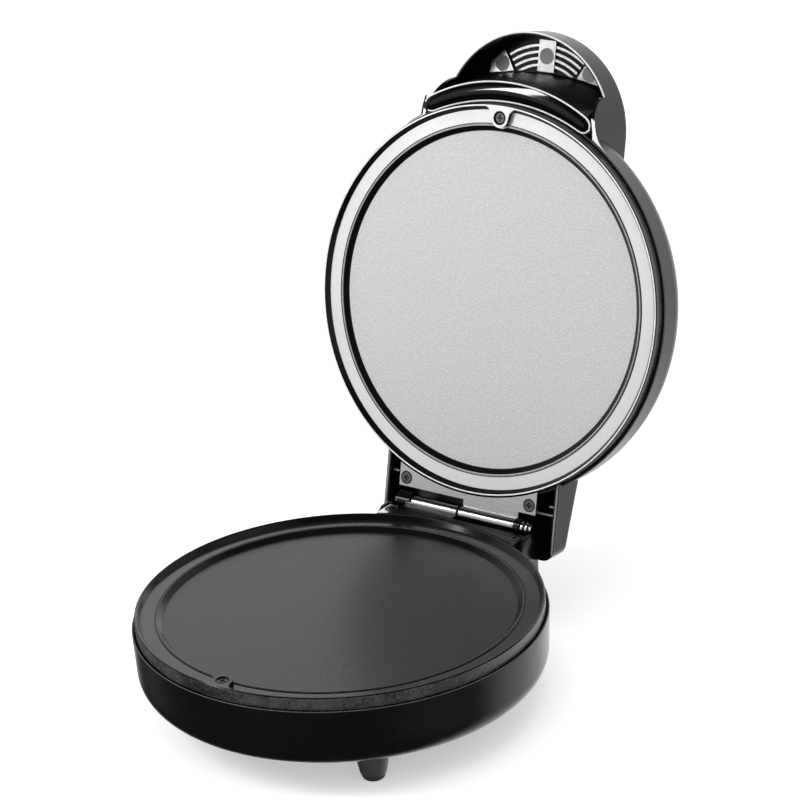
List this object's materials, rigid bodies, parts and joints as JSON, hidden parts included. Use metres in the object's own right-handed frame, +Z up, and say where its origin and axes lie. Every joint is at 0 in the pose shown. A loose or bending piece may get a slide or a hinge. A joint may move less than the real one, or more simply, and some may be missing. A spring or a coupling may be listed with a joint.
{
  "type": "electric pizza maker",
  "caption": "Countertop pizza cooker: round base and hinged lid, each with a heated cast plate, arched handle in front and a pin hinge behind.",
  "frame": {"origin": "on the table, in the middle of the open cooker's box, 54.78 mm behind the centre of the base plate", "axes": "+Z up, -Y towards the user at the handle side, +Y towards the hinge, +X to the user's right"},
  "size_m": [0.203, 0.3126, 0.2878],
  "materials": {
    "black_shell": "satin black moulded plastic",
    "black_gloss": "polished black moulded plastic",
    "grey_foot": "dark grey moulded plastic",
    "rubber_pad": "matt rubber",
    "dark_plate": "cast aluminium with a dark non-stick coat",
    "light_plate": "cast aluminium, fine-grained light grey coat",
    "leaf_steel": "brushed sheet steel",
    "bright_steel": "polished plated steel",
    "screw_steel": "blackened steel",
    "rib_trim": "bright satin trim on black plastic",
    "cap_grey": "matt grey plastic",
    "element_sheath": "heat-tinted steel sheath",
    "shield_sheet": "thin aluminium sheet",
    "ceramic_block": "pale heat-proof moulding",
    "signal_lens": "clear coloured lens"
  },
  "bodies": {
    "base": {"base_casing": "black_shell", "base_feet": "grey_foot", "foot_pads": "rubber_pad", "base_plate": "dark_plate", "base_heating_element": "element_sheath", "base_heat_shield": "shield_sheet", "base_thermostat": "ceramic_block", "base_plate_screw": "screw_steel", "base_shield_screws": "screw_steel", "thermal_fuse": "ceramic_block", "fuse_strap": "shield_sheet", "terminal_block": "ceramic_block", "cord_gland": "rubber_pad", "lower_hinge_leaf": "leaf_steel", "lower_leaf_screws": "screw_steel", "hinge_pin": "bright_steel", "hinge_collars": "black_gloss", "hinge_clips": "bright_steel"},
    "lid": {"lid_casing": "black_shell", "handle_cover": "black_shell", "handle_liner": "rib_trim", "handle_screw_caps": "cap_grey", "signal_lenses": "signal_lens", "signal_lamps": "ceramic_block", "lid_plate": "light_plate", "lid_heating_element": "element_sheath", "lid_heat_shield": "shield_sheet", "lid_thermostat": "ceramic_block", "lid_plate_screw": "screw_steel", "lid_shield_screws": "screw_steel", "upper_hinge_leaf": "leaf_steel", "upper_leaf_screws": "screw_steel"}
  },
  "joints": [
    {"name": "lid_hinge", "type": "hinge", "parent": "base", "child": "lid", "pos_m": [0, 0.05602, 0.0538], "axis": [1, 0, 0], "range_deg": [0, 103.5]}
  ]
}
